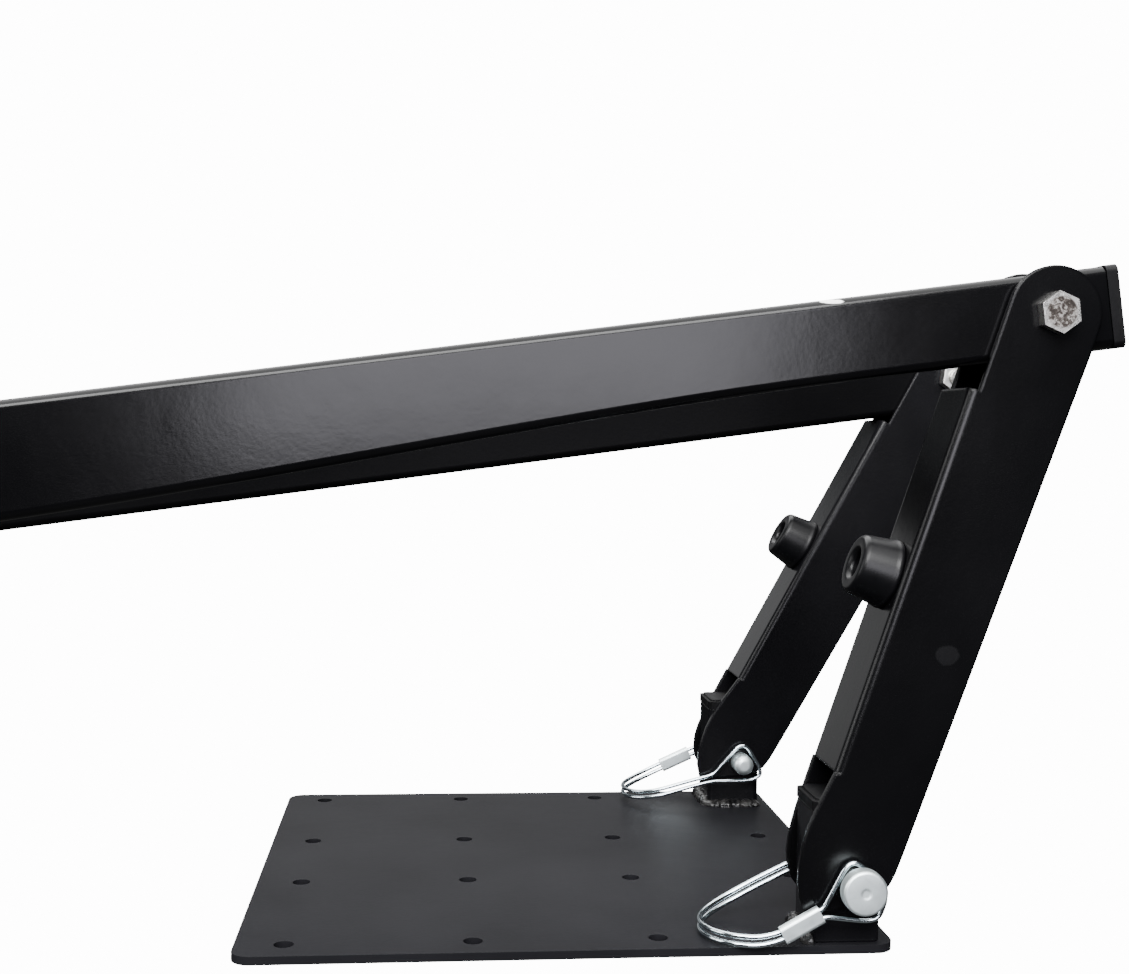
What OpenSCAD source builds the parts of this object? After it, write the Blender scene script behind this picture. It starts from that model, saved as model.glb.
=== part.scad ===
// Tailgate ladder: a bolt-down base plate with two square posts, two folding
// channel arms on lock pins, and two long side rails that hang from the arms.
// Frame: X runs along the rails, Y from the near arm to the far arm, Z up.
// The origin is the middle of the base plate's underside.

/* [Base plate] */
// Length of the plate along X
plate_l = 300; // [290:1:340]
// Width of the plate along Y
plate_w = 290; // [286:1:330]
// Thickness of the plate
plate_t = 4; // [3:0.5:6]
// Corner radius of the plate
plate_r = 9; // [3:1:14]
// Diameter of the fixing holes
hole_d = 9; // [6:0.5:11]
// Distance from the middle to the outer columns of holes
hole_x_out = 127.5; // [124:0.5:130]
// Distance from the middle to the inner columns of holes
hole_x_in = 42.5; // [30:0.5:60]
// Distance from the middle to the outer rows of holes
hole_y_out = 130; // [124:1:132]
// Distance from the middle to the inner rows of holes
hole_y_in = 38; // [25:1:60]

/* [Posts] */
// Outer size of the square post tube
post_s = 32; // [30:1:32]
// Wall of the post tube
post_wall = 2.5; // [2:0.5:3]
// Distance of each post's middle from the origin along Y
post_y = 125; // [123:1:126]
// Position of both posts along X
post_x = 127.5; // [127:0.5:128]
// Height of the tube's top above the plate's underside
post_top = 64.5; // [60:0.5:64.5]

/* [Arms] */
// Distance from the lock pin to the pivot bolt
arm_l = 275; // [270:1:290]
// Outer width of the channel along Y
arm_w = 40; // [40:1:41]
// Sheet thickness of the channel
arm_t = 3; // [2.5:0.5:3]
// Lean of the near arm from upright, in degrees
lean_near = 18.5; // [16:0.5:22]
// Lean of the far arm from upright, in degrees
lean_far = 28.5; // [26:0.5:28.5]
// Lock pin axis along X
pin_x = 131; // [129:0.5:131]
// Lock pin axis above the plate's underside
pin_z = 32; // [31:0.5:34]
// Lock pin diameter
pin_d = 12; // [10:0.5:12]
// Pivot bolt diameter
bolt_d = 10; // [8:1:10]

/* [Side rails] */
// Depth of the rail at its pivot end
rail_h = 38; // [36:1:38]
// Extra depth of the rail towards its free end
rail_flare = 15; // [0:1:20]
// Width of the rail along Y
rail_w = 30; // [28:1:30]
// Wall of the rail
rail_wall = 2; // [1.5:0.5:3]
// Slope of the rails, in degrees down to the left
rail_slope = 8; // [6:0.5:9]
// Distance from the pivot to the first rung
rung_first = 620; // [600:10:700]
// Spacing of the rungs
rung_pitch = 230; // [200:10:260]
// Outer diameter of the rungs
rung_d = 25; // [22:1:28]

/* [Hidden] */
$fn = 48;

fit = 0.05;
piv_n = [pin_x + arm_l * sin(lean_near), pin_z + arm_l * cos(lean_near)];
piv_f = [pin_x + arm_l * sin(lean_far), pin_z + arm_l * cos(lean_far)];
skew = [piv_f[0] - piv_n[0], 2 * post_y, piv_f[1] - piv_n[1]];
rail_tail = 28;
rail_len = rung_first + 2 * rung_pitch + 48;
flare_a = 95;
flare_b = 535;
web_v = 26.5;
web_lo = 45;
web_hi = arm_l - 45;
top_r = 21.8;
bump_u = 138;
bail_r = 23.2;
bend_r = 3.4;
wire_d = 2.4;

function smooth(t) = t <= 0 ? 0 : t >= 1 ? 1 : t * t * (3 - 2 * t);
function flare(s) = rail_flare * smooth((s - flare_a) / (flare_b - flare_a));

module rrect(w, h, r) {
    square([w - 2 * r, h], center = true);
    square([w, h - 2 * r], center = true);
    for (x = [-1, 1], y = [-1, 1])
        translate([x * (w / 2 - r), y * (h / 2 - r)]) circle(r = r);
}

// cylinder along +Y from y0 to y1
module ycyl(d, y0, y1) {
    translate([0, y1, 0]) rotate([90, 0, 0]) cylinder(d = d, h = y1 - y0);
}

// extrudes an X-Z outline along Y, centred
module yslab(w) {
    translate([0, w / 2, 0]) rotate([90, 0, 0]) linear_extrude(w) children();
}

// places near-side geometry: pin axis at the local origin, arm upright along local Z
module at_arm(side) {
    translate([pin_x, side * post_y, pin_z])
        rotate([0, side < 0 ? lean_near : lean_far, 0]) children();
}

// pivot axis at the local origin, local X up along the rail
module at_rail(side) {
    p = side < 0 ? piv_n : piv_f;
    translate([p[0], side * post_y, p[1]]) rotate([0, -rail_slope, 0]) children();
}

// ---------------------------------------------------------------- base

module base_plate() {
    color("#1b1b1d") difference() {
        linear_extrude(plate_t) rrect(plate_l, plate_w, plate_r);
        for (x = [-hole_x_out, -hole_x_in, hole_x_in], y = [-hole_y_out, hole_y_out])
            translate([x, y, -1]) cylinder(d = hole_d, h = plate_t + 2);
        for (x = [-hole_x_out, -hole_x_in, hole_x_in, hole_x_out], y = [-hole_y_in, hole_y_in])
            translate([x, y, -1]) cylinder(d = hole_d, h = plate_t + 2);
    }
}

module post(side) {
    color("#1b1b1d") translate([post_x, side * post_y, 0]) difference() {
        translate([0, 0, plate_t]) linear_extrude(post_top - plate_t) difference() {
            rrect(post_s, post_s, 3);
            rrect(post_s - 2 * post_wall, post_s - 2 * post_wall, 1);
        }
        translate([pin_x - post_x, 0, pin_z]) ycyl(pin_d + 3 * fit, -30, 30);
    }
}

module post_cap(side) {
    in = post_s - 2 * post_wall;
    color("#111113") translate([post_x, side * post_y, post_top]) {
        linear_extrude(4.5) rrect(post_s + 0.8, post_s + 0.8, 3);
        translate([0, 0, 4.5]) linear_extrude(1) rrect(post_s - 3, post_s - 3, 3);
        translate([0, 0, -9]) linear_extrude(9) difference() {
            rrect(in - 0.2, in - 0.2, 1);
            rrect(in - 4, in - 4, 1);
        }
    }
}

// beads along the left face and the inner face of the post
module post_weld(side) {
    color("#2c2b2a") translate([post_x, side * post_y, plate_t]) mirror([0, side < 0 ? 1 : 0, 0]) difference() {
        union() {
            translate([-post_s / 2, post_s / 2 + 3, 0]) rotate([90, 0, 0]) linear_extrude(post_s + 8)
                polygon([[1, 0], [-5.5, 0], [-5, 1.6], [-1.4, 4.8], [0, 5.6], [1, 5.6]]);
            translate([-post_s / 2 - 4, -post_s / 2, 0]) rotate([90, 0, 90]) linear_extrude(post_s + 6)
                polygon([[1, 0], [-7, 0], [-6.2, 1.4], [-1.6, 3.4], [0, 4], [1, 4]]);
        }
        translate([0, 0, -1]) linear_extrude(10) rrect(post_s, post_s, 3);
    }
}

// ---------------------------------------------------------------- arms

// the flange on the -Y side has the deeper heel
module flange_outline(deep) {
    heel = deep
        ? [[-29.3, 26], [-30, 17], [-29.6, 8], [-28.2, 0], [-26.2, -7.5], [-23, -14.4], [-18, -20.4], [-16, -19.6]]
        : [[-26.4, 20], [-26, 12], [-25.2, 4], [-23.6, -3], [-21, -9], [-17.5, -14], [-14, -16.5], [-12, -17.2]];
    polygon(concat([[-web_v + bend_r, web_hi], [-web_v + bend_r, web_lo], [-web_v, web_lo]], heel,
        [[3.5, -8.6], [8, -5.6], [11.8, -1.4], [14.6, 4], [15.6, 10], [16, 20], [top_r, arm_l - 14], [top_r, arm_l],
        [-top_r, arm_l], [-top_r, web_hi]]));
    translate([0, arm_l]) circle(r = top_r);
}

module web_section() {
    ro = bend_r;
    ri = 0.5;
    difference() {
        union() {
            translate([-web_v, -arm_w / 2 + ro]) square([arm_t, arm_w - 2 * ro]);
            for (s = [-1, 1]) translate([-web_v + ro, s * (arm_w / 2 - ro)]) circle(r = ro);
        }
        translate([-web_v + arm_t + ri, 0]) {
            for (s = [-1, 1]) translate([0, s * (arm_w / 2 - arm_t - ri)]) circle(r = ri);
            translate([-ri, -arm_w / 2 + arm_t + ri]) square([20, arm_w - 2 * arm_t - 2 * ri]);
            translate([0, -arm_w / 2 + arm_t]) square([20, arm_w - 2 * arm_t]);
        }
        translate([-web_v + ro + 0.5, -arm_w]) square([20, 2 * arm_w]);
    }
}

module arm_body() {
    color("#1a1a1c") difference() {
        union() {
            for (s = [-1, 1]) translate([0, s * (arm_w / 2 - arm_t / 2), 0]) yslab(arm_t) flange_outline(s < 0);
            translate([0, 0, web_lo]) linear_extrude(web_hi - web_lo) web_section();
        }
        ycyl(pin_d + 3 * fit, -30, 30);
        translate([0, 0, arm_l]) ycyl(bolt_d + 2 * fit, -30, 30);
        translate([-30, 0, bump_u]) rotate([0, 90, 0]) cylinder(d = 6.6, h = 12);
    }
}

module arm_bumper() {
    color("#161616") translate([-web_v, 0, bump_u]) rotate([0, -90, 0]) difference() {
        union() {
            cylinder(d = 33.5, h = 2);
            translate([0, 0, 2]) cylinder(d1 = 33.5, d2 = 28.2, h = 15);
            translate([0, 0, 17]) cylinder(d1 = 28.2, d2 = 26, h = 1.5);
        }
        translate([0, 0, 5]) cylinder(d = 12.5, h = 20);
        translate([0, 0, -1]) cylinder(d = 6.6, h = 20);
    }
}

module bumper_screw() {
    color("#8d9093") translate([-web_v, 0, bump_u]) rotate([0, -90, 0]) {
        translate([0, 0, 5]) cylinder(d = 11.5, h = 3);
        translate([0, 0, -10]) cylinder(d = 6, h = 16);
        translate([0, 0, -arm_t - 5]) rotate([0, 0, 30]) cylinder(d = 11.5, h = 5, $fn = 6);
    }
}

// head outwards, nut inwards
module pivot_bolt(side) {
    color("#b9bcbf") translate([0, 0, arm_l]) mirror([0, side < 0 ? 0 : 1, 0]) {
        difference() {
            translate([0, -arm_w / 2, 0]) rotate([90, 4.5, 0]) cylinder(d = 19.6, h = 6.4, $fn = 6);
            translate([0, -arm_w / 2 - 6.4, 0]) rotate([90, 0, 0]) translate([0, 0, -0.4]) difference() {
                cylinder(d = 30, h = 2);
                translate([0, 0, -1]) cylinder(d1 = 22.2, d2 = 14.2, h = 4);
            }
        }
        ycyl(bolt_d, -arm_w / 2 - 1, arm_w / 2 + 11.5);
    }
}

module pivot_nut(side) {
    color("#b9bcbf") translate([0, 0, arm_l]) mirror([0, side < 0 ? 0 : 1, 0]) difference() {
        translate([0, arm_w / 2 + 8, 0]) rotate([90, 8, 0]) cylinder(d = 19.6, h = 8, $fn = 6);
        ycyl(bolt_d + 2 * fit, 0, 40);
    }
}

module pivot_spacers() {
    t = (arm_w - 2 * arm_t - rail_w) / 2 - 0.2;
    color("#202020") translate([0, 0, arm_l]) for (s = [-1, 1]) difference() {
        translate([0, s * (rail_w / 2 + 0.1 + t / 2), 0]) ycyl(22, -t / 2, t / 2);
        ycyl(bolt_d + 2 * fit, -30, 30);
    }
}

// ---------------------------------------------------------------- rails

// side outline in the rail's own frame; up = 1 puts the flare on the upper edge
module rail_outline(up, inset, x0, x1) {
    n = 14;
    m = up ? 1 : -1;
    pts = [for (i = [0:n]) let (s = flare_a - 10 + (flare_b - flare_a + 20) * i / n)
        [-s, m * (rail_h / 2 + flare(s) - inset)]];
    polygon(concat(
        [[x1, m * (rail_h / 2 - inset)]], pts,
        [[x0, m * (rail_h / 2 + rail_flare - inset)], [x0, -m * (rail_h / 2 - inset)],
         [x1, -m * (rail_h / 2 - inset)]]));
}

module rail_holes() {
    for (k = [0:2]) translate([-(rung_first + k * rung_pitch), 0, 0]) children();
}

module rail_tube(side) {
    up = side > 0;
    color("#1c1c1f") difference() {
        yslab(rail_w) rail_outline(up, 0, -rail_len, rail_tail);
        yslab(rail_w - 2 * rail_wall) rail_outline(up, rail_wall, -rail_len - 1, rail_tail + 1);
        ycyl(14 + 2 * fit, -30, 30);
        rail_holes() ycyl(8 + 2 * fit, -30, 30);
    }
}

module rail_bush() {
    color("#77797c") difference() {
        ycyl(14, -rail_w / 2, rail_w / 2);
        ycyl(bolt_d + 2 * fit, -30, 30);
    }
}

module rail_caps(side) {
    m = side > 0 ? 1 : -1;
    color("#111113") {
        translate([rail_tail, 0, 0]) {
            rotate([0, 90, 0]) linear_extrude(5.5) rrect(rail_h + 0.8, rail_w + 0.8, 3.5);
            translate([-8, 0, 0]) rotate([0, 90, 0]) linear_extrude(8) rrect(rail_h - 2 * rail_wall - 0.3, rail_w - 2 * rail_wall - 0.3, 1);
        }
        translate([-rail_len, 0, m * rail_flare / 2]) rotate([0, -90, 0]) {
            linear_extrude(5.5) rrect(rail_h + rail_flare + 0.8, rail_w + 0.8, 3.5);
            translate([0, 0, -8]) linear_extrude(8) rrect(rail_h + rail_flare - 2 * rail_wall - 0.3, rail_w - 2 * rail_wall - 0.3, 1);
        }
    }
}

module rung_bolts(side) {
    color("#b9bcbf") rail_holes() mirror([0, side < 0 ? 0 : 1, 0]) {
        translate([0, -rail_w / 2, 0]) rotate([90, 0, 0]) cylinder(d = 15, h = 5.3, $fn = 6);
        ycyl(8, -rail_w / 2 - 1, rail_w / 2 + 9);
    }
}

// a round rung from the near rail's inner face to the far rail's inner face, with
// a plug in each end for the rung bolts; the far bore is wider, for play
module rung(k) {
    s = rung_first + k * rung_pitch;
    p = [piv_n[0] - s * cos(rail_slope), -post_y, piv_n[1] - s * sin(rail_slope)];
    q = p + skew;
    inner = 2 * (post_y - rail_w / 2 - 0.4);
    tilt_x = atan2(skew[0], skew[1]);
    tilt_z = asin(skew[2] / norm(skew));
    l = norm(skew);
    color("#1c1c1f") difference() {
        intersection() {
            translate(p) rotate([0, 0, -tilt_x]) rotate([tilt_z, 0, 0]) difference() {
                ycyl(rung_d, -10, l + 10);
                ycyl(rung_d - 4, 34, l - 34);
            }
            translate([p[0] - 200, -inner / 2, -500]) cube([500, inner, 1200]);
        }
        translate(p) ycyl(8 + 2 * fit, -20, 25);
        translate(q) ycyl(8.6, -25, 20);
    }
}

// ---------------------------------------------------------------- lock pins

// local frame: pin axis along Y, head towards -Y on the near side
module at_pin(side) {
    translate([pin_x, side * post_y, pin_z]) mirror([0, side < 0 ? 0 : 1, 0]) children();
}

module lock_pin() {
    color("#c9ccd0") {
        ycyl(pin_d, -28, 30.5);
        translate([0, 33, 0]) rotate([90, 0, 0]) cylinder(d1 = pin_d - 5, d2 = pin_d, h = 2.5);
        ycyl(20.5, -34, -27.5);
        translate([0, -34, 0]) rotate([90, 0, 0]) cylinder(d1 = 20.5, d2 = 18.5, h = 1);
    }
}

// centre line of the bail's wire, one closed loop with an outward normal at each
// point: outer eye, strand round the post, inner eye, strand back. Each side hangs
// on its own line: a list of [distance left of the pin, height] points, outer first
strand = 1.9;
function reach(side) = side < 0 ? 45 : 48;
function low(side) = side < 0 ? -24.3 : -21.5;
function hang(side, o) = side < 0
    ? (o ? [[16, -11.6], [24, -16.1], [31, -20], [37, -22.7], [45, -24.3]] : [[18, -3], [25, -6.2], [32, -9.5], [39, -13], [45, -16.2]])
    : (o ? [[18, -0.6], [24, -2.9], [31, -6.1], [39, -10], [48, -14.2]] : [[18, -9.4], [25, -11], [32, -12.8], [40, -15], [48, -17.2]]);
function eye_ctl(side, o) = side < 0
    ? (o ? [[-3.5, 14.2], [13.5, -3], [9, -16.5]] : [[-2, 14.2], [13.5, -3], [6, -13]])
    : (o ? [[0, 14], [13.5, -3], [5, -11.5]] : [[1, 14.5], [13.5, -6.5], [7, -11]]);
function corner(p, q, r, t) = [for (i = [0:4]) let (k = i / 4)
    (1 - k) * (1 - k) * (q + (p - q) * t) + 2 * k * (1 - k) * q + k * k * (q + (r - q) * t)];
function rev(v) = [for (i = [len(v) - 1:-1:0]) v[i]];
// eye from the upper strand round the pin to the lower one
function eye_2d(side, o) = let (h = hang(side, o)[0], e = eye_ctl(side, o),
    a = [-h[0], h[1] + strand], b = [-h[0], h[1] - strand])
    concat([a], corner(a, e[0], e[1], 0.3), corner(e[0], e[1], e[2], 0.3), corner(e[1], e[2], b, 0.3), [b]);
function at_side(v, s) = [for (e = v) [[e[0], s * bail_r, e[1]], [0, s, 0]]];
function line_2d(side, o, d) = [for (k = [1:3]) let (h = hang(side, o)[k]) [-h[0], h[1] + d]];
// round the end, from the outer strand to the inner one
function arc_pts(side, d, n) = [for (i = [0:n]) let (a = 180 * i / n, h = hang(side, a < 90)[4][1])
    [[-reach(side) - bail_r * sin(a), -bail_r * cos(a), low(side) + d + (h - low(side)) * pow(1 - sin(a), 1.5)],
     [-sin(a), -cos(a), 0]]];
function bail_path(side) = concat(
    at_side(eye_2d(side, true), -1), at_side(line_2d(side, true, -strand), -1), arc_pts(side, -strand, 14),
    at_side(rev(line_2d(side, false, -strand)), 1), at_side(rev(eye_2d(side, false)), 1),
    at_side(line_2d(side, false, strand), 1), rev(arc_pts(side, strand, 14)), at_side(rev(line_2d(side, true, strand)), -1));

function unit(v) = v / norm(v);
function ring(path, i, r, n) = let (m = len(path), t = unit(path[(i + 1) % m][0] - path[(i + m - 1) % m][0]),
    w = path[i][1], u = unit(w - (w * t) * t), v = cross(t, u))
    [for (k = [0:n - 1]) path[i][0] + r * (cos(360 * k / n) * u + sin(360 * k / n) * v)];

module closed_tube(path, d, n) {
    m = len(path);
    polyhedron(points = [for (i = [0:m - 1]) each ring(path, i, d / 2, n)],
        faces = [for (i = [0:m - 1], k = [0:n - 1]) each [
            [i * n + k, ((i + 1) % m) * n + k, ((i + 1) % m) * n + (k + 1) % n],
            [i * n + k, ((i + 1) % m) * n + (k + 1) % n, i * n + (k + 1) % n]]]);
}

module bail(side) {
    color("#b4b8bd") closed_tube(bail_path(side), wire_d, 8);
}

module bail_ferrule(side) {
    h = hang(side, true);
    p = h[1];
    q = h[2];
    a = atan2(p[1] - q[1], q[0] - p[0]);
    color("#c9ccd0") translate([side < 0 ? -26 : -34, -bail_r, side < 0 ? -17.1 : -7.6]) rotate([0, -a, 0]) difference() {
        rotate([0, 90, 0]) translate([0, 0, -10]) linear_extrude(20) rrect(8.4, 4.8, 1.8);
        for (z = [-1, 1]) translate([-15, 0, z * strand * cos(a)]) rotate([0, 90, 0]) cylinder(d = wire_d + 1.2, h = 30);
    }
}

// ---------------------------------------------------------------- layout

module near_post() post(-1);
module far_post() post(1);
module near_post_cap() post_cap(-1);
module far_post_cap() post_cap(1);
module near_post_weld() post_weld(-1);
module far_post_weld() post_weld(1);
module near_arm() at_arm(-1) arm_body();
module near_bumper() at_arm(-1) arm_bumper();
module near_bumper_screw() at_arm(-1) bumper_screw();
module near_pivot_bolt() at_arm(-1) pivot_bolt(-1);
module near_pivot_nut() at_arm(-1) pivot_nut(-1);
module near_pivot_spacers() at_arm(-1) pivot_spacers();
module far_arm() at_arm(1) arm_body();
module far_bumper() at_arm(1) arm_bumper();
module far_bumper_screw() at_arm(1) bumper_screw();
module far_pivot_bolt() at_arm(1) pivot_bolt(1);
module far_pivot_nut() at_arm(1) pivot_nut(1);
module far_pivot_spacers() at_arm(1) pivot_spacers();
module near_rail() at_rail(-1) rail_tube(-1);
module near_rail_bush() at_rail(-1) rail_bush();
module near_rail_caps() at_rail(-1) rail_caps(-1);
module near_rung_bolts() at_rail(-1) rung_bolts(-1);
module far_rail() at_rail(1) rail_tube(1);
module far_rail_bush() at_rail(1) rail_bush();
module far_rail_caps() at_rail(1) rail_caps(1);
module far_rung_bolts() at_rail(1) rung_bolts(1);
module near_lock_pin() at_pin(-1) lock_pin();
module near_bail() at_pin(-1) bail(-1);
module near_bail_ferrule() at_pin(-1) bail_ferrule(-1);
module far_lock_pin() at_pin(1) lock_pin();
module far_bail() at_pin(1) bail(1);
module far_bail_ferrule() at_pin(1) bail_ferrule(1);

base_plate();
near_post();
far_post();
near_post_cap();
far_post_cap();
near_post_weld();
far_post_weld();
near_arm();
near_bumper();
near_bumper_screw();
near_pivot_bolt();
near_pivot_nut();
near_pivot_spacers();
far_arm();
far_bumper();
far_bumper_screw();
far_pivot_bolt();
far_pivot_nut();
far_pivot_spacers();
near_rail();
near_rail_bush();
near_rail_caps();
near_rung_bolts();
far_rail();
far_rail_bush();
far_rail_caps();
far_rung_bolts();
rung(0);  // rung_1
rung(1);  // rung_2
rung(2);  // rung_3
near_lock_pin();
near_bail();
near_bail_ferrule();
far_lock_pin();
far_bail();
far_bail_ferrule();
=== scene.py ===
import bpy, bmesh, math
from mathutils import Vector, Matrix, noise


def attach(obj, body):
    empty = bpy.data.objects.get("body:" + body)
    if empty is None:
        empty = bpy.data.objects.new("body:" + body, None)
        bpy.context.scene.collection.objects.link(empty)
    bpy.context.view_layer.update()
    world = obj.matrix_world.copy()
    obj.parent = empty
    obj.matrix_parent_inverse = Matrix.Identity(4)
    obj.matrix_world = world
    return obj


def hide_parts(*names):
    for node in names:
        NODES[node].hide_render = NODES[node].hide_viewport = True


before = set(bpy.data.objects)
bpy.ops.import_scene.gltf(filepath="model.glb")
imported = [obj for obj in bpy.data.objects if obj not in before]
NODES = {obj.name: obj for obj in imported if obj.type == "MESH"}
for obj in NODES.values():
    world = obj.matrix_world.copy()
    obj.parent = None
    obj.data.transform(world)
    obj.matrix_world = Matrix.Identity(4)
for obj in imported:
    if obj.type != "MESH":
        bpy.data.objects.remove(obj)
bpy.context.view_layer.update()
mm = 0.001


def rad(a):
    return math.radians(a)


# ------------------------------------------------------------ dimensions, as in the CAD
PIN = (131.0, 32.0)
ARM_L = 275.0
POST_Y = 125.0
POST_X = 127.5
SLOPE = 8.0
LEAN = {-1: 18.5, 1: 28.5}
SIDE = {-1: "near", 1: "far"}
RAIL_LEN, RAIL_TAIL = 620 + 2 * 230 + 48.0, 28.0
RAIL_H, RAIL_W, FLARE = 38.0, 30.0, 15.0
FLARE_A, FLARE_B = 95.0, 535.0


def pivot(s):
    a = rad(LEAN[s])
    return PIN[0] + ARM_L * math.sin(a), PIN[1] + ARM_L * math.cos(a)


def smooth01(t):
    t = min(1.0, max(0.0, t))
    return t * t * (3 - 2 * t)


def flare(d):
    return FLARE * smooth01((d - FLARE_A) / (FLARE_B - FLARE_A))


# ------------------------------------------------------------ mesh helpers
def new_mesh(name, verts, faces, body, mat, replaced=(), angle=35, merge=True):
    me = bpy.data.meshes.new(name)
    me.from_pydata([Vector(v) * mm for v in verts], [], faces)
    bm = bmesh.new()
    bm.from_mesh(me)
    if merge:
        bmesh.ops.remove_doubles(bm, verts=bm.verts, dist=2e-6)
    bmesh.ops.recalc_face_normals(bm, faces=bm.faces)
    bm.to_mesh(me)
    bm.free()
    for p in me.polygons:
        p.use_smooth = True
    me.set_sharp_from_angle(angle=rad(angle))
    ob = bpy.data.objects.new(name, me)
    bpy.context.scene.collection.objects.link(ob)
    ob.data.materials.append(mat)
    if replaced:
        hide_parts(*replaced)
    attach(ob, body)
    return ob


def weighted(ob):
    m = ob.modifiers.new("wn", "WEIGHTED_NORMAL")
    m.keep_sharp = True
    m.weight = 80
    return ob


def grid_faces(rows, cols, close_rows=False, close_cols=True, base=0):
    f = []
    for i in range(rows if close_rows else rows - 1):
        for j in range(cols if close_cols else cols - 1):
            a = base + i * cols + j
            b = base + i * cols + (j + 1) % cols
            c = base + ((i + 1) % rows) * cols + (j + 1) % cols
            d = base + ((i + 1) % rows) * cols + j
            f.append((a, b, c, d))
    return f


def lathe(profile, segs, place):
    """profile: (radius, height) pairs from one axis point to the other; place maps (x, y, h) to the frame."""
    verts, faces = [], []
    rings = []
    for r, h in profile:
        if r < 1e-6:
            rings.append([len(verts)])
            verts.append(place(0, 0, h))
        else:
            rings.append(list(range(len(verts), len(verts) + segs)))
            for k in range(segs):
                a = 2 * math.pi * k / segs
                verts.append(place(r * math.cos(a), r * math.sin(a), h))
    for a, b in zip(rings[:-1], rings[1:]):
        for k in range(segs):
            k2 = (k + 1) % segs
            if len(a) == 1 and len(b) == 1:
                continue
            if len(a) == 1:
                faces.append((a[0], b[k], b[k2]))
            elif len(b) == 1:
                faces.append((a[k], b[0], a[k2]))
            else:
                faces.append((a[k], b[k], b[k2], a[k2]))
    return verts, faces


def round_profile(points, r=0.5, n=4):
    """rounds the inner corners of a (radius, height) profile"""
    out = [points[0]]
    for i in range(1, len(points) - 1):
        p, q, s = [Vector((a, b)) for a, b in points[i - 1:i + 2]]
        rr = min(r, 0.45 * (p - q).length, 0.45 * (s - q).length)
        a = q + (p - q).normalized() * rr
        b = q + (s - q).normalized() * rr
        for k in range(n + 1):
            t = k / n
            v = a * (1 - t) ** 2 + q * 2 * t * (1 - t) + b * t * t
            out.append((v.x, v.y))
    out.append(points[-1])
    return out


def tube(path, normals, r, segs, wobble=0.0):
    n = len(path)
    P = [Vector(p) for p in path]
    verts = []
    for i in range(n):
        t = (P[(i + 1) % n] - P[(i - 1) % n]).normalized()
        w = Vector(normals[i])
        u = (w - t * w.dot(t)).normalized()
        v = t.cross(u)
        for k in range(segs):
            a = 2 * math.pi * k / segs
            rr = r * (1 + wobble * noise.noise(P[i] * 0.35 + Vector((k * 0.7, 3, 1))))
            verts.append(P[i] + u * (rr * math.cos(a)) + v * (rr * math.sin(a)))
    return verts, grid_faces(n, segs, close_rows=True, close_cols=True)


# ------------------------------------------------------------ materials
def new_mat(name):
    m = bpy.data.materials.new(name)
    m.use_nodes = True
    nt = m.node_tree
    nt.nodes.clear()
    out = nt.nodes.new("ShaderNodeOutputMaterial")
    b = nt.nodes.new("ShaderNodeBsdfPrincipled")
    nt.links.new(b.outputs[0], out.inputs[0])
    tc = nt.nodes.new("ShaderNodeTexCoord")
    return m, nt, b, tc.outputs["Object"]


def add_noise(nt, co, scale, detail=3.0, rough=0.55, dist=0.0):
    n = nt.nodes.new("ShaderNodeTexNoise")
    n.inputs["Scale"].default_value = scale
    n.inputs["Detail"].default_value = detail
    n.inputs["Roughness"].default_value = rough
    n.inputs["Distortion"].default_value = dist
    nt.links.new(co, n.inputs["Vector"])
    return n.outputs["Fac"]


def ramp(nt, fac, stops):
    r = nt.nodes.new("ShaderNodeValToRGB")
    e = r.color_ramp.elements
    while len(e) > len(stops):
        e.remove(e[-1])
    while len(e) < len(stops):
        e.new(0.5)
    for el, (p, c) in zip(e, stops):
        el.position = p
        el.color = (c, c, c, 1) if not hasattr(c, "__len__") else (*c, 1)
    nt.links.new(fac, r.inputs[0])
    return r.outputs[0]


def map_range(nt, fac, lo, hi, a=0.0, b=1.0):
    m = nt.nodes.new("ShaderNodeMapRange")
    m.inputs["From Min"].default_value = a
    m.inputs["From Max"].default_value = b
    m.inputs["To Min"].default_value = lo
    m.inputs["To Max"].default_value = hi
    nt.links.new(fac, m.inputs["Value"])
    return m.outputs[0]


def bump(nt, height, strength, dist, under=None):
    b = nt.nodes.new("ShaderNodeBump")
    b.inputs["Strength"].default_value = strength
    b.inputs["Distance"].default_value = dist
    nt.links.new(height, b.inputs["Height"])
    if under is not None:
        nt.links.new(under, b.inputs["Normal"])
    return b.outputs[0]


def spot(nt, co, centre, radius, edge_noise=0.35, scale=260.0):
    """1 inside an irregular blob round a point of the frame, 0 outside"""
    sub = nt.nodes.new("ShaderNodeVectorMath")
    sub.operation = "SUBTRACT"
    sub.inputs[1].default_value = [c * mm for c in centre]
    nt.links.new(co, sub.inputs[0])
    div = nt.nodes.new("ShaderNodeVectorMath")
    div.operation = "DIVIDE"
    div.inputs[1].default_value = [r * mm for r in radius]
    nt.links.new(sub.outputs[0], div.inputs[0])
    ln = nt.nodes.new("ShaderNodeVectorMath")
    ln.operation = "LENGTH"
    nt.links.new(div.outputs[0], ln.inputs[0])
    n = add_noise(nt, co, scale, 3, 0.6)
    add = nt.nodes.new("ShaderNodeMath")
    add.operation = "MULTIPLY_ADD"
    nt.links.new(n, add.inputs[0])
    add.inputs[1].default_value = edge_noise * 2
    nt.links.new(ln.outputs["Value"], add.inputs[2])
    return map_range(nt, add.outputs[0], 1.0, 0.0, 0.95 + edge_noise, 1.15 + edge_noise)


def mix_col(nt, fac, a, b):
    m = nt.nodes.new("ShaderNodeMix")
    m.data_type = "RGBA"
    nt.links.new(fac, m.inputs[0])
    for i, c in ((6, a), (7, b)):
        if hasattr(c, "is_linked"):
            nt.links.new(c, m.inputs[i])
        else:
            m.inputs[i].default_value = (*c, 1)
    return m.outputs[2]


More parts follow.
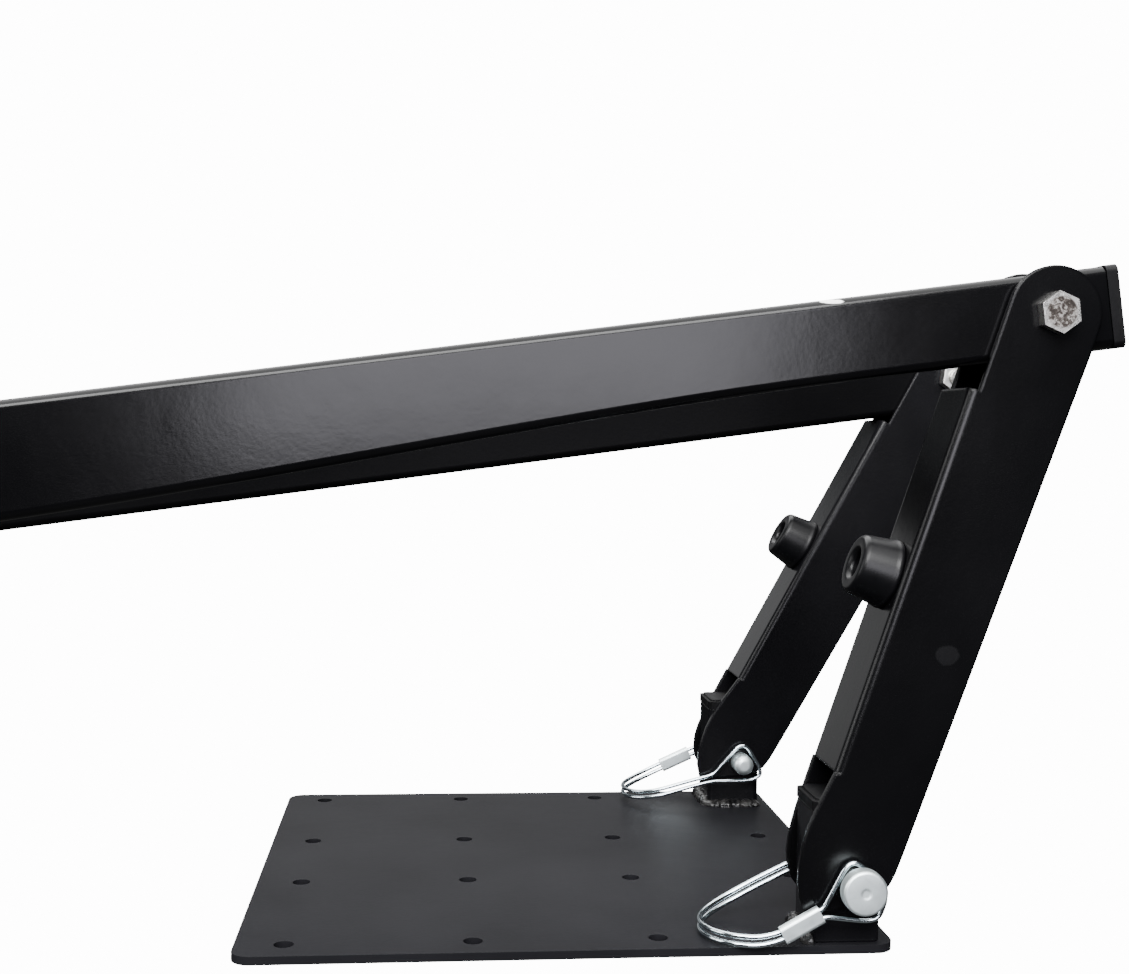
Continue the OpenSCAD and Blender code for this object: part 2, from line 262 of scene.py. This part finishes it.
def mix_val(nt, fac, a, b):
    m = nt.nodes.new("ShaderNodeMix")
    m.data_type = "FLOAT"
    nt.links.new(fac, m.inputs[0])
    for i, c in ((2, a), (3, b)):
        if hasattr(c, "is_linked"):
            nt.links.new(c, m.inputs[i])
        else:
            m.inputs[i].default_value = c
    return m.outputs[0]


def powder(name, chip=None, scuff=None, rough=(0.16, 0.21), spec=0.18, soft=0.0, tone=1.0):
    """satin black powder coat: fine orange peel, faint cloudiness, a little dust"""
    m, nt, b, co = new_mat(name)
    cloud = add_noise(nt, co, 9, 4, 0.6)
    fine = add_noise(nt, co, 520, 2, 0.5)
    lo, hi = (0.0011, 0.0011, 0.0013), (0.0018, 0.0018, 0.0021)
    # tone multiplies the base colours: on the plate it gives the plate's lighter grey, on the posts and the far arm it
    # is painted light that lifts their shade
    col = ramp(nt, cloud, [(0.3, tuple(c * tone for c in lo)), (0.7, tuple(c * tone for c in hi))])
    ro = map_range(nt, cloud, rough[0], rough[1], 0.3, 0.7)
    speck = add_noise(nt, co, 1500, 2, 0.5)
    dust = ramp(nt, speck, [(0.72, 0.0), (0.80, 1.0)])
    dcol = mix_col(nt, dust, col, (0.0050, 0.0050, 0.0058))
    if chip:
        f = spot(nt, co, *chip)
        dcol = mix_col(nt, f, dcol, (0.95, 0.95, 0.93))
        ro = mix_val(nt, f, ro, 0.6)
    if scuff:
        f = spot(nt, co, *scuff)
        dcol = mix_col(nt, f, dcol, (0.0030, 0.0030, 0.0034))
        ro = mix_val(nt, f, ro, 0.30)
    nt.links.new(dcol, b.inputs["Base Color"])
    nt.links.new(ro, b.inputs["Roughness"])
    wide = add_noise(nt, co, 70, 2, 0.5)
    base_n = None
    if soft:
        bev = nt.nodes.new("ShaderNodeBevel")
        bev.samples = 6
        bev.inputs["Radius"].default_value = soft * mm
        base_n = bev.outputs["Normal"]
    n1 = bump(nt, wide, 0.10, 0.0006, base_n)
    nt.links.new(bump(nt, fine, 0.16, 0.00012, n1), b.inputs["Normal"])
    b.inputs["Specular IOR Level"].default_value = spec
    return m


def zinc(name, base, rough=(0.2, 0.36), bump_s=0.12, spots=0.35):
    """bright zinc plate: slightly cloudy, fine drawing marks"""
    m, nt, b, co = new_mat(name)
    cloud = add_noise(nt, co, 160, 4, 0.6, 0.4)
    dark = tuple(c * (1 - spots) for c in base)
    col = ramp(nt, cloud, [(0.33, dark), (0.62, base)])
    nt.links.new(col, b.inputs["Base Color"])
    b.inputs["Metallic"].default_value = 1.0
    nt.links.new(map_range(nt, cloud, rough[1], rough[0], 0.3, 0.7), b.inputs["Roughness"])
    fine = add_noise(nt, co, 1400, 2, 0.5)
    n1 = bump(nt, cloud, bump_s, 0.0002)
    nt.links.new(bump(nt, fine, bump_s, 0.00005, n1), b.inputs["Normal"])
    return m


def bolt_zinc(name, base, centres, rough=(0.2, 0.36)):
    """zinc plate on hex heads: bright chamfers round a duller, mottled, slightly yellow face"""
    m, nt, b, co = new_mat(name)
    cloud = add_noise(nt, co, 420, 4, 0.7, 0.8)
    side = ramp(nt, cloud, [(0.33, tuple(c * 0.75 for c in base)), (0.62, base)])
    face = ramp(nt, cloud, [(0.40, (0.045, 0.038, 0.034)), (0.51, (0.13, 0.115, 0.10)), (0.58, (0.62, 0.59, 0.55))])
    mask = None
    for c in centres:
        sub = nt.nodes.new("ShaderNodeVectorMath")
        sub.operation = "SUBTRACT"
        sub.inputs[1].default_value = [v * mm for v in c]
        nt.links.new(co, sub.inputs[0])
        div = nt.nodes.new("ShaderNodeVectorMath")
        div.operation = "DIVIDE"
        div.inputs[1].default_value = (7.4 * mm, 1.2 * mm, 7.4 * mm)
        nt.links.new(sub.outputs[0], div.inputs[0])
        ln = nt.nodes.new("ShaderNodeVectorMath")
        ln.operation = "LENGTH"
        nt.links.new(div.outputs[0], ln.inputs[0])
        f = map_range(nt, ln.outputs["Value"], 1.0, 0.0, 0.93, 1.02)
        if mask is None:
            mask = f
        else:
            mx = nt.nodes.new("ShaderNodeMath")
            mx.operation = "MAXIMUM"
            nt.links.new(mask, mx.inputs[0])
            nt.links.new(f, mx.inputs[1])
            mask = mx.outputs[0]
    nt.links.new(mix_col(nt, mask, side, face), b.inputs["Base Color"])
    b.inputs["Metallic"].default_value = 1.0
    ro = map_range(nt, cloud, rough[1], rough[0], 0.3, 0.7)
    ro2 = map_range(nt, cloud, 0.42, 0.26, 0.3, 0.7)
    nt.links.new(mix_val(nt, mask, ro, ro2), b.inputs["Roughness"])
    fine = add_noise(nt, co, 1400, 2, 0.5)
    n1 = bump(nt, cloud, 0.3, 0.0002)
    nt.links.new(bump(nt, fine, 0.14, 0.00005, n1), b.inputs["Normal"])
    return m


def moulded(name, base, rough=(0.42, 0.55), grain=1800, bump_s=0.2, spec=0.45):
    m, nt, b, co = new_mat(name)
    cloud = add_noise(nt, co, 60, 3, 0.6)
    g = add_noise(nt, co, grain, 2, 0.5)
    col = ramp(nt, cloud, [(0.3, tuple(c * 0.8 for c in base)), (0.7, tuple(c * 1.25 for c in base))])
    nt.links.new(col, b.inputs["Base Color"])
    nt.links.new(map_range(nt, cloud, rough[0], rough[1], 0.3, 0.7), b.inputs["Roughness"])
    nt.links.new(bump(nt, g, bump_s, 0.0001), b.inputs["Normal"])
    b.inputs["Specular IOR Level"].default_value = spec
    return m


def weldmat(name):
    m, nt, b, co = new_mat(name)
    n = add_noise(nt, co, 170, 3, 0.5, 0.4)
    col = ramp(nt, n, [(0.40, (0.0050, 0.0050, 0.0054)), (0.72, (0.026, 0.025, 0.024))])
    nt.links.new(col, b.inputs["Base Color"])
    nt.links.new(map_range(nt, n, 0.16, 0.34, 0.3, 0.7), b.inputs["Roughness"])
    nt.links.new(bump(nt, n, 0.4, 0.0003), b.inputs["Normal"])
    b.inputs["Coat Weight"].default_value = 0.12
    b.inputs["Coat Roughness"].default_value = 0.30
    b.inputs["Specular IOR Level"].default_value = 0.25
    return m


# painted light: tone=2.6 raises the base colour to lift the posts where they lie in the pin heads' shadow (the rungs
# share this coat)
M_POWDER = powder("powder_black", tone=2.6)
M_PLATE = powder("powder_plate", rough=(0.34, 0.42), spec=0.06, tone=5.0)
M_RAILF = powder("powder_far_rail", rough=(0.34, 0.42), spec=0.04)
M_RAILN = powder("powder_near_rail", chip=((116, -137.4, 296.3), (5.4, 5, 1.0), 0.3, 420))
M_ARMN = powder("powder_near_arm", scuff=((171, -145, 136.5), (5.2, 3, 4.2), 0.25, 300), rough=(0.18, 0.23), soft=1.8)
# painted light: tone=2.2 makes the far arm a lighter copy of the near arm's coat, lifting the far arm's shade
M_ARMF = powder("powder_far_arm", rough=(0.18, 0.23), soft=1.8, tone=2.2)
M_RUBBER = moulded("rubber_black", (0.0017, 0.0017, 0.0021), (0.30, 0.40), 900, 0.16, 0.17)
M_CAP = moulded("cap_plastic", (0.0019, 0.0019, 0.0022), (0.34, 0.46), 1700, 0.2, 0.15)
M_NYLON = moulded("spacer_nylon", (0.003, 0.003, 0.003), (0.35, 0.45), 900, 0.1, 0.3)
M_PIN = zinc("zinc_pin", (0.86, 0.945, 0.95), (0.42, 0.54), 0.14, 0.16)
M_WIRE = zinc("zinc_wire", (0.66, 0.74, 0.78), (0.11, 0.20), 0.06, 0.22)
M_BOLT = bolt_zinc("zinc_bolt", (0.80, 0.79, 0.75), [(pivot(-1)[0], -POST_Y - 26.3, pivot(-1)[1]), (pivot(1)[0], POST_Y + 26.3, pivot(1)[1])])
M_NUT = zinc("zinc_nut", (0.80, 0.80, 0.78), (0.24, 0.38), 0.16, 0.22)
# painted shade: the screw's zinc colour is darkened to 0.055 because it sits deep in the bumper's recess
M_SCREW_SHADED = zinc("zinc_screw_painted_shade", (0.055, 0.056, 0.06), (0.34, 0.46), 0.16, 0.30)
M_BUSH = zinc("steel_bush", (0.30, 0.30, 0.30), (0.3, 0.4), 0.16, 0.20)
M_WELD = weldmat("weld_coated")

# ------------------------------------------------------------ CAD nodes that stay
KEEP = {
    "base_plate": (M_PLATE, 0.7), "near_post": (M_POWDER, 0.8), "far_post": (M_POWDER, 0.8),
    "near_post_cap": (M_CAP, 0.7), "far_post_cap": (M_CAP, 0.7),
    "near_arm": (M_ARMN, 0.45), "far_arm": (M_ARMF, 0.45),
    "near_rail_caps": (M_CAP, 1.1), "far_rail_caps": (M_CAP, 1.1),
    "near_pivot_bolt": (M_BOLT, 0.28), "far_pivot_bolt": (M_BOLT, 0.28),
    "near_pivot_nut": (M_NUT, 0.6), "far_pivot_nut": (M_NUT, 0.6),
    "near_pivot_spacers": (M_NYLON, 0.3), "far_pivot_spacers": (M_NYLON, 0.3),
    "near_bumper_screw": (M_SCREW_SHADED, 0.4), "far_bumper_screw": (M_SCREW_SHADED, 0.4),
    "near_rail_bush": (M_BUSH, 0.3), "far_rail_bush": (M_BUSH, 0.3),
    "near_rung_bolts": (M_NUT, 0.5), "far_rung_bolts": (M_NUT, 0.5),
    "rung_1": (M_POWDER, 0.5), "rung_2": (M_POWDER, 0.5), "rung_3": (M_POWDER, 0.5),
    "near_bail_ferrule": (M_PIN, 0.6), "far_bail_ferrule": (M_PIN, 0.6),
}
for name, (mat, width) in KEEP.items():
    ob = NODES[name]
    ob.data.materials.clear()
    ob.data.materials.append(mat)
    for p in ob.data.polygons:
        p.use_smooth = True
        p.material_index = 0
    w = ob.modifiers.new("weld", "WELD")
    w.merge_threshold = 1e-5
    bv = ob.modifiers.new("bevel", "BEVEL")
    bv.width = width * mm
    bv.segments = 3
    bv.limit_method = "ANGLE"
    bv.angle_limit = rad(32)
    bv.use_clamp_overlap = True
    bv.harden_normals = False
    wn = ob.modifiers.new("wn", "WEIGHTED_NORMAL")
    wn.keep_sharp = True
    wn.weight = 80


# ------------------------------------------------------------ rails: rounded box section with the deeper left end
def rail(s):
    px, pz = pivot(s)
    ca, sa = math.cos(rad(SLOPE)), math.sin(rad(SLOPE))
    R, K = 4.4, 8
    st = [RAIL_TAIL - 0.4]
    x = RAIL_TAIL - 8
    while x > -RAIL_LEN + 8:
        st.append(x)
        x -= 11.0
    st.append(-RAIL_LEN + 0.4)
    verts = []
    for x in st:
        top = RAIL_H / 2 + (flare(-x) if s > 0 else 0)
        bot = RAIL_H / 2 + (flare(-x) if s < 0 else 0)
        # a pressed section: straight flats between the rounded bends
        loop = []
        for (cy, cz, a0) in ((1, 1, 0), (-1, 1, 90), (-1, -1, 180), (1, -1, 270)):
            zc = (top - R) if cz > 0 else -(bot - R)
            yc = cy * (RAIL_W / 2 - R)
            for k in range(K + 1):
                a = rad(a0 + 90 * k / K)
                loop.append((yc + R * math.cos(a), zc + R * math.sin(a)))
        for (y, z) in loop:
            verts.append((px + x * ca - z * sa, s * POST_Y + y, pz + x * sa + z * ca))
    cols = 4 * (K + 1)
    faces = grid_faces(len(st), cols)
    faces.append(tuple(range(cols)))
    faces.append(tuple(range(len(verts) - cols, len(verts))))
    ob = new_mesh(SIDE[s] + "_rail_tube", verts, faces, SIDE[s] + "_rail",
                  M_RAILN if s < 0 else M_RAILF, (SIDE[s] + "_rail",), angle=50)
    return weighted(ob)


for s in (-1, 1):
    rail(s)


# ------------------------------------------------------------ rubber bumpers
def bumper(s):
    a = rad(LEAN[s])
    ca, sa = math.cos(a), math.sin(a)

    def place(x, y, h):
        # h: away from the web's outer face; x: along the arm; y: across
        v = -26.5 - h
        u = 138 + x
        return (PIN[0] + v * ca + u * sa, s * POST_Y + y, PIN[1] - v * sa + u * ca)

    pts = [(3.4, 0.02), (16.4, 0.02), (16.75, 1.6), (16.2, 3.2), (14.1, 16.8), (12.6, 18.48), (8.2, 18.48), (6.3, 16.6), (6.25, 5.05), (3.4, 5.05), (3.4, 0.02)]
    prof = round_profile(pts, 1.0, 4)
    v, f = lathe(prof, 56, place)
    ob = new_mesh(SIDE[s] + "_bumper_pad", v, f, SIDE[s] + "_arm", M_RUBBER, (SIDE[s] + "_bumper",), angle=60)
    return ob


for s in (-1, 1):
    bumper(s)


# ------------------------------------------------------------ lock pins
def lock_pin(s):
    def put(x, y, h):
        # h: along the pin, tip positive (inwards)
        return (PIN[0] + x, s * POST_Y - s * h, PIN[1] + y)

    pts = [(0, -34.75), (1.6, -34.75), (2.6, -35.0), (9.4, -35.0), (10.25, -34.0), (10.25, -28.2), (9.7, -27.5), (6.0, -27.5), (6.0, 30.6), (4.6, 32.3), (3.0, 33.0), (0, 33.0)]
    v, f = lathe(round_profile(pts, 0.6, 3), 48, put)
    return new_mesh(SIDE[s] + "_pin_turned", v, f, SIDE[s] + "_pin", M_PIN, (SIDE[s] + "_lock_pin",), angle=40)


for s in (-1, 1):
    lock_pin(s)

# ------------------------------------------------------------ bails: the same closed loop as the CAD, with more points
STRAND, BAIL_R, WIRE = 1.9, 23.2, 2.4
REACH = {-1: 45.0, 1: 48.0}
LOW = {-1: -24.3, 1: -21.5}
HANG = {(-1, True): [(16, -11.6), (24, -16.1), (31, -20), (37, -22.7), (45, -24.3)],
        (-1, False): [(18, -3), (25, -6.2), (32, -9.5), (39, -13), (45, -16.2)],
        (1, True): [(18, -0.6), (24, -2.9), (31, -6.1), (39, -10), (48, -14.2)],
        (1, False): [(18, -9.4), (25, -11), (32, -12.8), (40, -15), (48, -17.2)]}
EYE = {(-1, True): [(-3.5, 14.2), (13.5, -3), (9, -16.5)], (-1, False): [(-2, 14.2), (13.5, -3), (6, -13)],
       (1, True): [(0, 14), (13.5, -3), (5, -11.5)], (1, False): [(1, 14.5), (13.5, -6.5), (7, -11)]}


def bail(s):
    def resample(pts, step):
        out = []
        for a, b in zip(pts[:-1], pts[1:]):
            n = max(1, int(round((b - a).length / step)))
            for k in range(n):
                out.append(a.lerp(b, k / n))
        out.append(pts[-1])
        return out

    def eye(outer):
        h, e = HANG[(s, outer)][0], EYE[(s, outer)]
        c = [Vector((-h[0], h[1] + STRAND))] + [Vector(v) for v in e] + [Vector((-h[0], h[1] - STRAND))]
        two = [c[0]]
        for i in (1, 2, 3):
            p, q, r = c[i - 1], c[i], c[i + 1]
            a, b = q + (p - q) * 0.3, q + (r - q) * 0.3
            for k in range(9):
                t = k / 8
                two.append(a * (1 - t) ** 2 + q * (2 * t * (1 - t)) + b * t * t)
        two.append(c[4])
        sd = -1 if outer else 1
        return [(Vector((p.x, sd * BAIL_R, p.y)), Vector((0, sd, 0))) for p in resample(two, 1.2)]

    def strand(outer, d):
        sd = -1 if outer else 1
        h = [Vector((-x, z + d)) for x, z in HANG[(s, outer)]]
        pts = resample(h, 1.6)[1:-1]
        return [(Vector((p.x, sd * BAIL_R, p.y)), Vector((0, sd, 0))) for p in pts]

    def arc(d):
        out = []
        NA = 44
        for i in range(NA + 1):
            a = math.pi * i / NA
            h = HANG[(s, a < math.pi / 2)][4][1]
            z = LOW[s] + d + (h - LOW[s]) * (1 - math.sin(a)) ** 1.5
            out.append((Vector((-REACH[s] - BAIL_R * math.sin(a), -BAIL_R * math.cos(a), z)), Vector((-math.sin(a), -math.cos(a), 0))))
        return out

    path = eye(True) + strand(True, -STRAND) + arc(-STRAND) + strand(False, -STRAND)[::-1] \
        + eye(False)[::-1] + strand(False, STRAND) + arc(STRAND)[::-1] + strand(True, STRAND)[::-1]
    # relax the corners a little
    pos = [p[0] for p in path]
    nrm = [p[1] for p in path]
    for _ in range(5):
        pos = [(pos[i - 1] + pos[i] * 2 + pos[(i + 1) % len(pos)]) / 4 for i in range(len(pos))]
    flip = 1 if s < 0 else -1
    v, f = tube([Vector((PIN[0] + p.x, s * POST_Y + flip * p.y, PIN[1] + p.z)) for p in pos],
                [Vector((n.x, flip * n.y, n.z)) for n in nrm], WIRE / 2, 16)
    return new_mesh(SIDE[s] + "_bail_wire", v, f, SIDE[s] + "_pin", M_WIRE, (SIDE[s] + "_bail",), angle=70, merge=False)


for s in (-1, 1):
    bail(s)


# ------------------------------------------------------------ weld beads on the left and inner faces of the posts
def weld(s):
    H = 16.0
    cx, cy = POST_X, s * POST_Y
    R = 3.0
    inn = Vector((0, -s, 0))
    lef = Vector((-1, 0, 0))
    # a line along the inner face, round the corner, and along the left face
    line = []
    n1, n2, n3 = 76, 12, 76
    a0 = Vector((cx + H + 1.0, cy, 0)) + inn * H
    a1 = Vector((cx - H + R, cy, 0)) + inn * H
    for i in range(n1):
        line.append((a0.lerp(a1, i / n1), inn, 0.0))
    cc = Vector((cx - H + R, cy, 0)) + inn * (H - R)
    for i in range(n2):
        t = rad(90 * i / n2)
        d = inn * math.cos(t) + lef * math.sin(t)
        line.append((cc + d * R, d, i / n2))
    b0 = Vector((cx - H, cy, 0)) + inn * (H - R)
    b1 = Vector((cx - H, cy, 0)) - inn * (H + 2.0)
    for i in range(n3 + 1):
        line.append((b0.lerp(b1, i / n3), lef, 1.0))
    C = 12
    verts = []
    N = len(line)
    run = 0.0
    for i, (p, out, f) in enumerate(line):
        if i:
            run += (p - line[i - 1][0]).length
        w = 6.9 * (1 - f) + 5.0 * f
        h = 3.9 * (1 - f) + 5.1 * f
        end = min(1.0, 0.30 + min(run, 60.0 if i < N / 2 else max(0.0, 66.5 - run)) / 4.0)
        rip = 0.5 + 0.5 * math.cos(run * 2 * math.pi / 3.4 + 1.6 * noise.noise(Vector((run * 0.13, s * 3.0, 0))))
        q = (0.84 + 0.07 * rip + 0.20 * noise.noise(Vector((run * 0.21, s * 5.0, 2.0)))) * end
        for c in range(C):
            a = 0.5 * math.pi * c / (C - 1)
            r = 1 + 0.12 * noise.noise(Vector((run * 0.55, a * 3, s * 2.0)))
            verts.append(p + out * (w * q * r * math.cos(a)) + Vector((0, 0, 4.0 + 0.02 + h * q * r * math.sin(a) ** 0.85)))
        verts.append(p - out * 0.5 + Vector((0, 0, 4.0 + 0.02 + h * q * 0.8)))
        verts.append(p - out * 0.5 + Vector((0, 0, 4.02)))
    cols = C + 2
    f = grid_faces(N, cols)
    f.append(tuple(range(cols)))
    f.append(tuple(range((N - 1) * cols, N * cols)))
    return new_mesh(SIDE[s] + "_weld_bead", verts, f, "base", M_WELD, (SIDE[s] + "_post_weld",), angle=75)


for s in (-1, 1):
    weld(s)

# ------------------------------------------------------------ stage, light and camera
me = bpy.data.meshes.new("floor")
S = 40.0
me.from_pydata([(-S, -S, 0), (S, -S, 0), (S, S, 0), (-S, S, 0)], [], [(0, 1, 2, 3)])
floor = bpy.data.objects.new("floor", me)
bpy.context.scene.collection.objects.link(floor)
floor.location.z = -1.3
fm, nt, b, co = new_mat("floor_paper")
n = add_noise(nt, co, 3, 2, 0.5)
nt.links.new(ramp(nt, n, [(0.0, 0.045), (1.0, 0.055)]), b.inputs["Base Color"])
b.inputs["Roughness"].default_value = 0.9
b.inputs["Specular IOR Level"].default_value = 0.1
b.inputs["Emission Color"].default_value = (1, 1, 1, 1)
flp = nt.nodes.new("ShaderNodeLightPath")
fmul = nt.nodes.new("ShaderNodeMath")
fmul.operation = "MULTIPLY"
fmul.inputs[1].default_value = 14.0
nt.links.new(flp.outputs["Is Camera Ray"], fmul.inputs[0])
nt.links.new(fmul.outputs[0], b.inputs["Emission Strength"])
floor.data.materials.append(fm)


def area(name, loc, target, size, power, size_y=None):
    li = bpy.data.lights.new(name, "AREA")
    li.shape = "RECTANGLE" if size_y else "SQUARE"
    li.size = size
    if size_y:
        li.size_y = size_y
    li.energy = power
    ob = bpy.data.objects.new(name, li)
    bpy.context.scene.collection.objects.link(ob)
    ob.location = loc
    ob.rotation_euler = (Vector(target) - Vector(loc)).to_track_quat("-Z", "Y").to_euler()
    return ob


area("front_box", (0.08, -2.25, 0.62), (0.04, 0, 0.26), 1.14, 43, 0.9).data.color = (1.0, 0.985, 1.06)
area("high_box", (-0.50, -1.75, 1.72), (-0.50, -0.14, 0.28), 2.2, 190, 1.0)
area("top_box", (-0.1, 0.6, 2.3), (-0.1, 0.6, 0.0), 2.6, 250, 5.2)
area("left_box", (-2.4, -0.2, 0.9), (0, 0, 0.15), 1.4, 48, 1.4)
area("back_box", (-0.5, 2.5, 1.6), (0, 0.2, 0.2), 1.7, 4, 0.9).visible_camera = False
area("back_wash", (0.2, 2.9, 0.30), (0, 0.2, 0.2), 5.2, 6.4, 0.9).visible_camera = False

w = bpy.data.worlds.new("studio")
bpy.context.scene.world = w
w.use_nodes = True
nt = w.node_tree
nt.nodes.clear()
out = nt.nodes.new("ShaderNodeOutputWorld")
lp = nt.nodes.new("ShaderNodeLightPath")
mix = nt.nodes.new("ShaderNodeMixShader")
seen = nt.nodes.new("ShaderNodeBackground")
seen.inputs[0].default_value = (1, 1, 1, 1)
seen.inputs[1].default_value = 14.0
amb = nt.nodes.new("ShaderNodeBackground")
amb.inputs[0].default_value = (0.9, 0.95, 1.0, 1)
amb.inputs[1].default_value = 0.09
nt.links.new(lp.outputs["Is Camera Ray"], mix.inputs[0])
nt.links.new(amb.outputs[0], mix.inputs[1])
nt.links.new(seen.outputs[0], mix.inputs[2])
nt.links.new(mix.outputs[0], out.inputs[0])

yaw, pitch, roll = rad(5.31), rad(1.98), rad(0.78)
fwd = Vector((math.sin(yaw) * math.cos(pitch), math.cos(yaw) * math.cos(pitch), -math.sin(pitch)))
right = Vector((math.cos(yaw), -math.sin(yaw), 0))
up = right.cross(fwd)
r = right * math.cos(roll) + up * math.sin(roll)
u = up * math.cos(roll) - right * math.sin(roll)
cam = bpy.data.cameras.new("camera")
cam.sensor_fit = "HORIZONTAL"
cam.sensor_width = 36
cam.lens = 1460.05 * 36 / 1129
cam.clip_start = 0.01
cam.dof.use_dof = False
co_ = bpy.data.objects.new("camera", cam)
co_.matrix_world = Matrix(((r.x, u.x, -fwd.x, -0.06466), (r.y, u.y, -fwd.y, -0.78696), (r.z, u.z, -fwd.z, 0.23371), (0, 0, 0, 1)))
bpy.context.scene.collection.objects.link(co_)
bpy.context.scene.camera = co_
